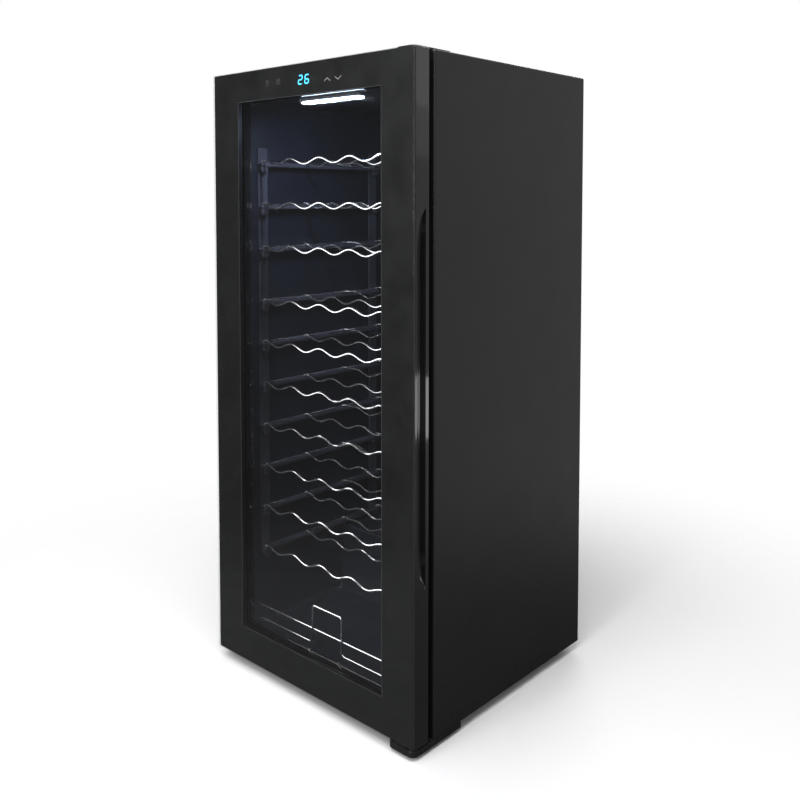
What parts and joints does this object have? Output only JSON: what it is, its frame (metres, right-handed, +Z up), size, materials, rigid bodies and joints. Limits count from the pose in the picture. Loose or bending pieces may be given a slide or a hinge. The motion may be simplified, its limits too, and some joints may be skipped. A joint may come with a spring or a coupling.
{
  "type": "wine cooler",
  "caption": "Tall free-standing wine cooler: insulated black cabinet with a compressor bay, a glazed hinged door with side grips, wave-wire bottle shelves and screw feet.",
  "frame": {"origin": "on the floor, under the middle of the cabinet's footprint", "axes": "+Z up, the door faces -Y, +X to the right of someone who faces the door"},
  "size_m": [0.583, 0.566, 1.2933],
  "materials": {
    "cabinet_paint": "satin",
    "zinc_steel": "satin",
    "back_paint": "matte",
    "liner_plastic": "satin",
    "foam": "matte",
    "duct_plastic": "satin",
    "chrome_wire": "polished",
    "fin_aluminium": "satin",
    "fan_plastic": "satin",
    "led_housing": "satin",
    "led_lens": "gloss",
    "compressor_paint": "satin",
    "grommet_rubber": "matte",
    "relay_plastic": "matte",
    "copper_pipe": "satin",
    "tray_plastic": "satin",
    "hinge_paint": "satin",
    "hinge_pin": "satin",
    "door_plastic": "gloss",
    "pane_glass": "gloss",
    "spacer_aluminium": "satin",
    "gasket_rubber": "matte",
    "grip_metal": "gloss",
    "display_black": "gloss",
    "bush_plastic": "satin",
    "foot_plastic": "matte"
  },
  "bodies": {
    "cabinet": {"cabinet_wrap": "cabinet_paint", "base_pan": "cabinet_paint", "back_panel": "back_paint", "bay_divider": "zinc_steel", "inner_liner": "liner_plastic", "insulation_foam": "foam", "shelf_support_left": "liner_plastic", "shelf_support_right": "liner_plastic", "bottle_guard": "chrome_wire", "air_duct_cover": "duct_plastic", "evaporator": "fin_aluminium", "evaporator_fan_frame": "fan_plastic", "led_housing": "led_housing", "led_lens": "led_lens", "condenser_coil": "back_paint", "condenser_bracket_left": "zinc_steel", "condenser_bracket_right": "zinc_steel", "compressor": "compressor_paint", "compressor_plate": "zinc_steel", "compressor_grommet_1": "grommet_rubber", "compressor_grommet_2": "grommet_rubber", "compressor_grommet_3": "grommet_rubber", "compressor_grommet_4": "grommet_rubber", "relay_box": "relay_plastic", "drip_tray": "tray_plastic", "discharge_line": "copper_pipe", "suction_line": "copper_pipe", "filter_drier": "copper_pipe", "power_box": "relay_plastic", "mains_inlet": "relay_plastic", "lower_hinge_bracket": "hinge_paint", "lower_hinge_pin": "hinge_pin", "upper_hinge_plate": "hinge_paint", "upper_hinge_pin": "hinge_pin"},
    "door": {"door_frame": "door_plastic", "door_outer_glass": "pane_glass", "door_inner_glass": "pane_glass", "glazing_spacer": "spacer_aluminium", "glazing_bead": "door_plastic", "door_gasket": "gasket_rubber", "grip_left": "grip_metal", "grip_right": "grip_metal", "display_unit": "display_black", "lower_hinge_bush": "bush_plastic", "upper_hinge_bush": "bush_plastic"},
    "fan": {"evaporator_fan": "fan_plastic"},
    "shelf_1_body": {"shelf_1": "chrome_wire"},
    "shelf_2_body": {"shelf_2": "chrome_wire"},
    "shelf_3_body": {"shelf_3": "chrome_wire"},
    "shelf_4_body": {"shelf_4": "chrome_wire"},
    "shelf_5_body": {"shelf_5": "chrome_wire"},
    "shelf_6_body": {"shelf_6": "chrome_wire"},
    "shelf_7_body": {"shelf_7": "chrome_wire"},
    "shelf_8_body": {"shelf_8": "chrome_wire"},
    "shelf_9_body": {"shelf_9": "chrome_wire"},
    "shelf_10_body": {"shelf_10": "chrome_wire"},
    "foot_front_left_body": {"foot_front_left": "foot_plastic"},
    "foot_front_right_body": {"foot_front_right": "foot_plastic"},
    "foot_rear_left_body": {"foot_rear_left": "foot_plastic"},
    "foot_rear_right_body": {"foot_rear_right": "foot_plastic"}
  },
  "joints": [
    {"name": "door_swing", "type": "hinge", "parent": "cabinet", "child": "door", "pos_m": [0.2705, -0.26, 0.65], "axis": [0, 0, 1], "range_deg": [0, 115]},
    {"name": "fan_spin", "type": "hinge", "parent": "cabinet", "child": "fan", "pos_m": [0, 0.209, 0.855], "axis": [0, 1, 0], "continuous": true},
    {"name": "shelf_1_slide", "type": "slide", "parent": "cabinet", "child": "shelf_1_body", "axis": [0, -1, 0], "range_m": [0, 0.12]},
    {"name": "shelf_2_slide", "type": "slide", "parent": "cabinet", "child": "shelf_2_body", "axis": [0, -1, 0], "range_m": [0, 0.12]},
    {"name": "shelf_3_slide", "type": "slide", "parent": "cabinet", "child": "shelf_3_body", "axis": [0, -1, 0], "range_m": [0, 0.12]},
    {"name": "shelf_4_slide", "type": "slide", "parent": "cabinet", "child": "shelf_4_body", "axis": [0, -1, 0], "range_m": [0, 0.12]},
    {"name": "shelf_5_slide", "type": "slide", "parent": "cabinet", "child": "shelf_5_body", "axis": [0, -1, 0], "range_m": [0, 0.12]},
    {"name": "shelf_6_slide", "type": "slide", "parent": "cabinet", "child": "shelf_6_body", "axis": [0, -1, 0], "range_m": [0, 0.12]},
    {"name": "shelf_7_slide", "type": "slide", "parent": "cabinet", "child": "shelf_7_body", "axis": [0, -1, 0], "range_m": [0, 0.12]},
    {"name": "shelf_8_slide", "type": "slide", "parent": "cabinet", "child": "shelf_8_body", "axis": [0, -1, 0], "range_m": [0, 0.12]},
    {"name": "shelf_9_slide", "type": "slide", "parent": "cabinet", "child": "shelf_9_body", "axis": [0, -1, 0], "range_m": [0, 0.12]},
    {"name": "shelf_10_slide", "type": "slide", "parent": "cabinet", "child": "shelf_10_body", "axis": [0, -1, 0], "range_m": [0, 0.12]},
    {"name": "foot_front_left_turn", "type": "hinge", "parent": "cabinet", "child": "foot_front_left_body", "pos_m": [-0.255, -0.178, 0.01], "axis": [0, 0, 1], "continuous": true},
    {"name": "foot_front_right_turn", "type": "hinge", "parent": "cabinet", "child": "foot_front_right_body", "pos_m": [0.255, -0.178, 0.01], "axis": [0, 0, 1], "continuous": true},
    {"name": "foot_rear_left_turn", "type": "hinge", "parent": "cabinet", "child": "foot_rear_left_body", "pos_m": [-0.255, 0.225, 0.01], "axis": [0, 0, 1], "continuous": true},
    {"name": "foot_rear_right_turn", "type": "hinge", "parent": "cabinet", "child": "foot_rear_right_body", "pos_m": [0.255, 0.225, 0.01], "axis": [0, 0, 1], "continuous": true}
  ],
  "couplings": [
    {"joint": "shelf_1_slide", "follows": "door_swing", "m_per_rad": 0.0595},
    {"joint": "shelf_2_slide", "follows": "door_swing", "m_per_rad": 0.0595},
    {"joint": "shelf_3_slide", "follows": "door_swing", "m_per_rad": 0.0595},
    {"joint": "shelf_4_slide", "follows": "door_swing", "m_per_rad": 0.0595},
    {"joint": "shelf_5_slide", "follows": "door_swing", "m_per_rad": 0.0595},
    {"joint": "shelf_6_slide", "follows": "door_swing", "m_per_rad": 0.0595},
    {"joint": "shelf_7_slide", "follows": "door_swing", "m_per_rad": 0.0595},
    {"joint": "shelf_8_slide", "follows": "door_swing", "m_per_rad": 0.0595},
    {"joint": "shelf_9_slide", "follows": "door_swing", "m_per_rad": 0.0595},
    {"joint": "shelf_10_slide", "follows": "door_swing", "m_per_rad": 0.0595}
  ]
}
